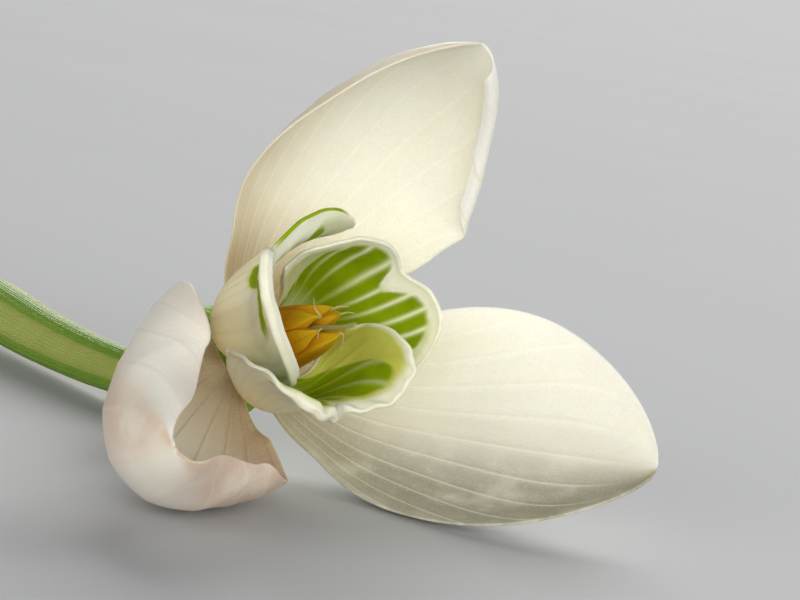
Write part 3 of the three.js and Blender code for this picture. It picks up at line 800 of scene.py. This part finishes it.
def ring_part(rings, material, cap_ends=True):
    """One closed part through rings of points, its ends closed as fans."""
    rows, sides, _ = rings.shape
    points = rings.reshape(-1, 3)
    faces = grid_faces(rows - 1, sides, wrap=True)
    across = np.arange(sides) / sides * np.ones((rows, 1))
    along = np.linspace(0, 1, rows)[:, None] * np.ones((1, sides))
    uv = np.stack([across, along], -1).reshape(-1, 2)
    if cap_ends:
        ends = np.array([rings[0].mean(axis=0), rings[-1].mean(axis=0)])
        first, last = len(points), len(points) + 1
        top = (rows - 1) * sides
        faces += [(first, (j + 1) % sides, j) for j in range(sides)]
        faces += [(last, top + j, top + (j + 1) % sides) for j in range(sides)]
        points = np.concatenate([points, ends])
        uv = np.concatenate([uv, [[0.5, 0], [0.5, 1]]])
    return points, faces, {"blade": uv}, material


def curve_points(nodes, steps):
    """A smooth curve through a few nodes (Catmull-Rom, even in its parameter)."""
    nodes = np.asarray(nodes, dtype=float)
    padded = np.concatenate([[2 * nodes[0] - nodes[1]], nodes, [2 * nodes[-1] - nodes[-2]]])
    x = np.linspace(0, len(nodes) - 1, steps)
    i = np.minimum(x.astype(int), len(nodes) - 2)
    k = (x - i)[:, None]
    a, b, c, d = (padded[i + n] for n in range(4))
    return 0.5 * (2 * b + (c - a) * k + (2 * a - 5 * b + 4 * c - d) * k ** 2
                  + (3 * b - a - 3 * c + d) * k ** 3)


def anther_part(azimuth, tip, out, material):
    """One anther: a flat-faced wedge that tapers to a free, pointed tip."""
    share = np.linspace(0, 1, ANTHER["rows"])
    z = between((ANTHER["base"], tip), share)
    outer = np.interp(share, ANTHER["shares"], ANTHER["outside"]) + out * share ** 3
    taper = 1 - 0.9 * smooth(ANTHER["taper"], 1.05, share)
    inner = outer - np.maximum(outer - ANTHER["inside"] - 0.1, 0.2) * (0.25 + 0.75 * taper)
    a = np.linspace(0, 2 * np.pi, ANTHER["sides"], endpoint=False)
    power = ANTHER["squareness"]
    box = (np.abs(np.cos(a)) ** power + np.abs(np.sin(a)) ** power) ** (-1 / power)
    across, radial = box * np.sin(a), box * np.cos(a)
    width = (ANTHER["width"] * outer * taper)[:, None]
    b = across[None, :] * width * (0.72 + 0.28 * radial[None, :])
    groove = 0.05 * np.exp(-(across / 0.1) ** 2)
    swell = (0.10 * (1 - across ** 2) - groove) * np.maximum(radial, 0)
    centre = (outer + inner)[:, None] / 2
    depth = (outer - inner)[:, None] / 2
    r = centre + depth * (radial + swell)[None, :]
    return ring_part(bloom_point(azimuth, r, b, z[:, None]), material)


def build_stamens():
    """Six anthers close round the style, each on a filament and drawn to an awn."""
    orange = anther_material()
    pale = streaked("filament_and_awn", STREAKS["awn"], depth=0.05)
    parts = []
    for k, (tip, out, bend, end) in enumerate(ANTHER_TIPS):
        azimuth = 2 * np.pi * k / ANTHERS
        parts.append(anther_part(azimuth, tip, out, orange))
        foot = curve_points([bloom_point(azimuth, r, 0.0, z) for r, z in FILAMENT["course"]],
                            FILAMENT["steps"])
        parts.append(tube(foot, np.linspace(*FILAMENT["radii"], FILAMENT["steps"]), pale))
        r = ANTHER["outside"][-1] + out - 0.1
        awn = curve_points([bloom_point(azimuth, r + x, y, tip + z)
                            for x, y, z in (*AWN["root"], bend, end)], AWN["steps"])
        parts.append(tube(awn, np.linspace(*AWN["radii"], AWN["steps"]), pale, sides=8))
    make_piece("anther_cone", parts, "stamens")


def build_pistil():
    """Ovary with faint ribs and a smooth shoulder, and the style above it."""
    green = streaked("ovary_green", STREAKS["ovary"])
    pale = streaked("style_pale", STREAKS["style"], depth=0.05)
    a = np.linspace(0, 2 * np.pi, OVARY["sides"], endpoint=False)[None, :]
    body = curve_points(PISTIL[:OVARY["points"]], OVARY["rows"])
    round_off = np.sin(np.linspace(0, np.pi, OVARY["rows"]))[:, None]
    ribs = 1 + OVARY["rib"] * np.cos(OVARY["ribs"] * a) * round_off
    parts = [ring_part(bloom_point(a, body[:, :1] * ribs, 0.0, body[:, 1:]), green)]
    column = curve_points(STYLE, 60)
    bent = STYLE_BEND["out"] * smooth(STYLE_BEND["start"], STYLE_BEND["end"], column[:, 1])
    aside = bloom_point(math.radians(STYLE_BEND["azimuth"]), bent, 0.0, 0 * bent)
    rings = bloom_point(a[:, ::3], column[:, :1], 0.0, column[:, 1:]) + aside[:, None, :]
    parts.append(ring_part(rings, pale))
    make_piece("ovary_and_style", parts, "pistil")


class Course:
    """The stalk's centripetal Catmull-Rom course, even in length from 0 to 1."""

    def __init__(self, nodes, fine=400):
        p = np.concatenate([[2 * nodes[0] - nodes[1]], nodes, [2 * nodes[-1] - nodes[-2]]])
        points = []
        for i in range(1, len(nodes)):
            a, b, c, d = p[i - 1:i + 3]
            gaps = [math.sqrt(np.linalg.norm(y - x)) for x, y in ((a, b), (b, c), (c, d))]
            first, own, last = gaps
            m0 = ((b - a) / first - (c - a) / (first + own) + (c - b) / own) * own
            m1 = ((c - b) / own - (d - b) / (own + last) + (d - c) / last) * own
            k = np.linspace(0, 1, fine)[:, None]
            points.append((2 * k ** 3 - 3 * k ** 2 + 1) * b + (k ** 3 - 2 * k ** 2 + k) * m0
                          + (3 * k ** 2 - 2 * k ** 3) * c + (k ** 3 - k ** 2) * m1)
        self.points = np.concatenate(points)
        steps = np.linalg.norm(np.diff(self.points, axis=0), axis=1)
        self.at = np.concatenate([[0], np.cumsum(steps)])
        self.length = self.at[-1]

    def point(self, share):
        x = np.clip(share, 0, 1) * self.length
        return np.stack([np.interp(x, self.at, self.points[:, k]) for k in range(3)], -1)

    def frame(self, share):
        share = np.asarray(share, dtype=float)
        along = unit(self.point(share + NUDGE) - self.point(share - NUDGE))
        sideways = unit(np.cross(np.array([0, 0, 1.0]), along))
        return self.point(share), along, sideways, np.cross(along, sideways)


def stalk_course():
    foot = AXIS * (PISTIL[0][1] - 1.7 * SEAT)
    rest = [(x, y, h - RECEPTACLE[2]) for x, y, h in STALK]
    return Course(np.array([foot, *rest]))


def rod(course, shares, sides, radius, material, cap_ends=True):
    at, _, sideways, over = (v[:, None, :] for v in course.frame(shares))
    a = np.linspace(0, 2 * np.pi, sides, endpoint=False)[None, :]
    r = radius(shares[:, None], a)
    rings = at + (r * np.cos(a))[..., None] * sideways + (r * np.sin(a))[..., None] * over
    return ring_part(rings, material, cap_ends), rings


def build_stalk(course):
    green = streaked("pedicel_green", STREAKS["pedicel"])
    flutes = PEDICEL["flutes"]
    thread, _ = rod(course, np.linspace(0, SPATHE_END, PEDICEL["steps"]), PEDICEL["sides"],
                    lambda s, a: PEDICEL["radius"] * (1 + PEDICEL["flute"] * np.cos(flutes * a)
                                                      + 0 * s), green)
    make_piece("pedicel_thread", [thread], "pedicel")

    skin = streaked("scape_green", STREAKS["scape"], size=0.9)
    start = SPATHE_END + SEAT / course.length
    sides, cut_rings = SCAPE["sides"], SCAPE["cut_rings"]

    def scape_radius(s, a):
        shoulder = 1 - SCAPE["shoulder"] * smooth(start + 0.02, start, s)
        return SCAPE["radius"] * shoulder * (1 + SCAPE["flute"] * np.cos(SCAPE["flutes"] * a))

    side, rings = rod(course, np.linspace(start, 1, SCAPE["steps"]), sides, scape_radius,
                      skin, False)
    parts = [side]
    cut = cut_material()
    for end, flip in ((rings[0], True), (rings[-1], False)):
        middle = end.mean(axis=0)
        shares = np.linspace(1, SCAPE["cut_middle"], cut_rings)[:, None]
        dish = end[None] * shares[..., None] + middle * (1 - shares[..., None])
        faces = grid_faces(cut_rings - 1, sides, wrap=True, flip=flip)
        last = [(cut_rings - 1) * sides + j for j in range(sides)]
        faces.append(tuple(last[::-1] if flip else last))
        uv = np.stack(np.broadcast_arrays(np.arange(sides) / sides, shares), -1)
        parts.append((dish, faces, {"blade": uv}, cut))
    make_piece("scape_stem", parts, "scape")


def build_spathe(course):
    inside = spathe_material("spathe_inner_face", False)
    outside = spathe_material("spathe_outer_face", True)

    def sheet(u, t):
        at, along, sideways, over = course.frame(
            SPATHE["start"] + (SPATHE_END - SPATHE["start"]) * u)
        opening = between((SPATHE["opening"], SPATHE["open_to"]), (1 - u) ** 2)
        a = np.radians(180 - opening / 2) * t
        off = np.abs(a) - math.radians(SPATHE["keel_at"])
        keel = SPATHE["keel"] * np.exp(-(off / SPATHE["keel_width"]) ** 2)
        radii = np.interp(u, np.linspace(0, 1, len(SPATHE["radii"])), SPATHE["radii"])
        r = (radii - SEAT + keel)[..., None]
        way = math.radians(SPATHE["facing"])
        c, s = math.cos(way), math.sin(way)
        facing = sideways * c + over * s
        turned = np.cross(along, facing)
        return at + r * (facing * np.cos(a)[..., None] + turned * np.sin(a)[..., None])

    parts = blade(sheet, SPATHE["grid"],
                  lambda u, t: SPATHE["blade"] * (1 - 0.5 * t ** 6) + 0 * u,
                  lambda u, t, side: SPATHE["rib"] * np.cos(t * np.pi * SPATHE["ribs"]) + 0 * u,
                  lambda u, t: (t + 1) / 2, inside, outside)
    make_piece("spathe_sheath", joined(parts), "spathe")


# ---- stage, lights and camera --------------------------------------------------------
def build_stage():
    f = Finish("pale_floor")
    veil = f.noise(60.0, detail=2.0)
    colour = f.mix(veil, *FLOOR_TINTS)
    f.dress(colour, 0.9, [(f.noise(0.8), 0.02)])
    corners = [(x * FLOOR_REACH, y * FLOOR_REACH, 0)
               for x, y in ((-1, -1), (1, -1), (1, 1), (-1, 1))]
    mesh = bpy.data.meshes.new("floor")
    mesh.from_pydata(corners, [], [(0, 1, 2, 3)])
    mesh.materials.append(f.material)
    floor = bpy.data.objects.new("floor", mesh)
    bpy.context.scene.collection.objects.link(floor)


def aim(thing, at, to, up):
    """Places an object at a point and turns its -Z to another."""
    back = (Vector(at) - Vector(to)).normalized()
    right = Vector(up).cross(back).normalized()
    over = back.cross(right)
    turned = Matrix((right, over, back)).transposed().to_4x4()
    thing.matrix_world = Matrix.Translation(Vector(at)) @ turned


def build_lights():
    for name, (azimuth, elevation), softness, strength, colour in LIGHTS:
        data = bpy.data.lights.new(name, "SUN")
        data.angle = math.radians(softness)
        data.energy = strength
        data.color = colour
        lamp = bpy.data.objects.new(name, data)
        bpy.context.scene.collection.objects.link(lamp)
        a, e = math.radians(azimuth), math.radians(elevation)
        toward = (math.sin(a) * math.cos(e), -math.cos(a) * math.cos(e), math.sin(e))
        aim(lamp, toward, (0, 0, 0), (0, 0, 1))
    world = bpy.data.worlds.new("studio")
    world.use_nodes = True
    glow = world.node_tree.nodes["Background"]
    glow.inputs[0].default_value = (*ROOM_LIGHT["colour"], 1)
    glow.inputs[1].default_value = ROOM_LIGHT["strength"]
    bpy.context.scene.world = world


def build_camera():
    data = bpy.data.cameras.new("camera")
    data.sensor_width = CAMERA_SENSOR
    data.lens = CAMERA_LENS
    data.clip_start = 0.005
    data.clip_end = 100
    camera = bpy.data.objects.new("camera", data)
    bpy.context.scene.collection.objects.link(camera)
    aim(camera, (RECEPTACLE + np.array(CAMERA_AT)) * MM,
        (RECEPTACLE + np.array(CAMERA_AIM)) * MM, CAMERA_UP)
    bpy.context.scene.camera = camera
    bpy.context.scene.view_settings.view_transform = "Standard"


build_camera()
build_lights()
build_stage()
build_outer_tepals()
build_inner_tepals()
build_stamens()
build_pistil()
stalk = stalk_course()
build_stalk(stalk)
build_spathe(stalk)

bpy.context.view_layer.update()
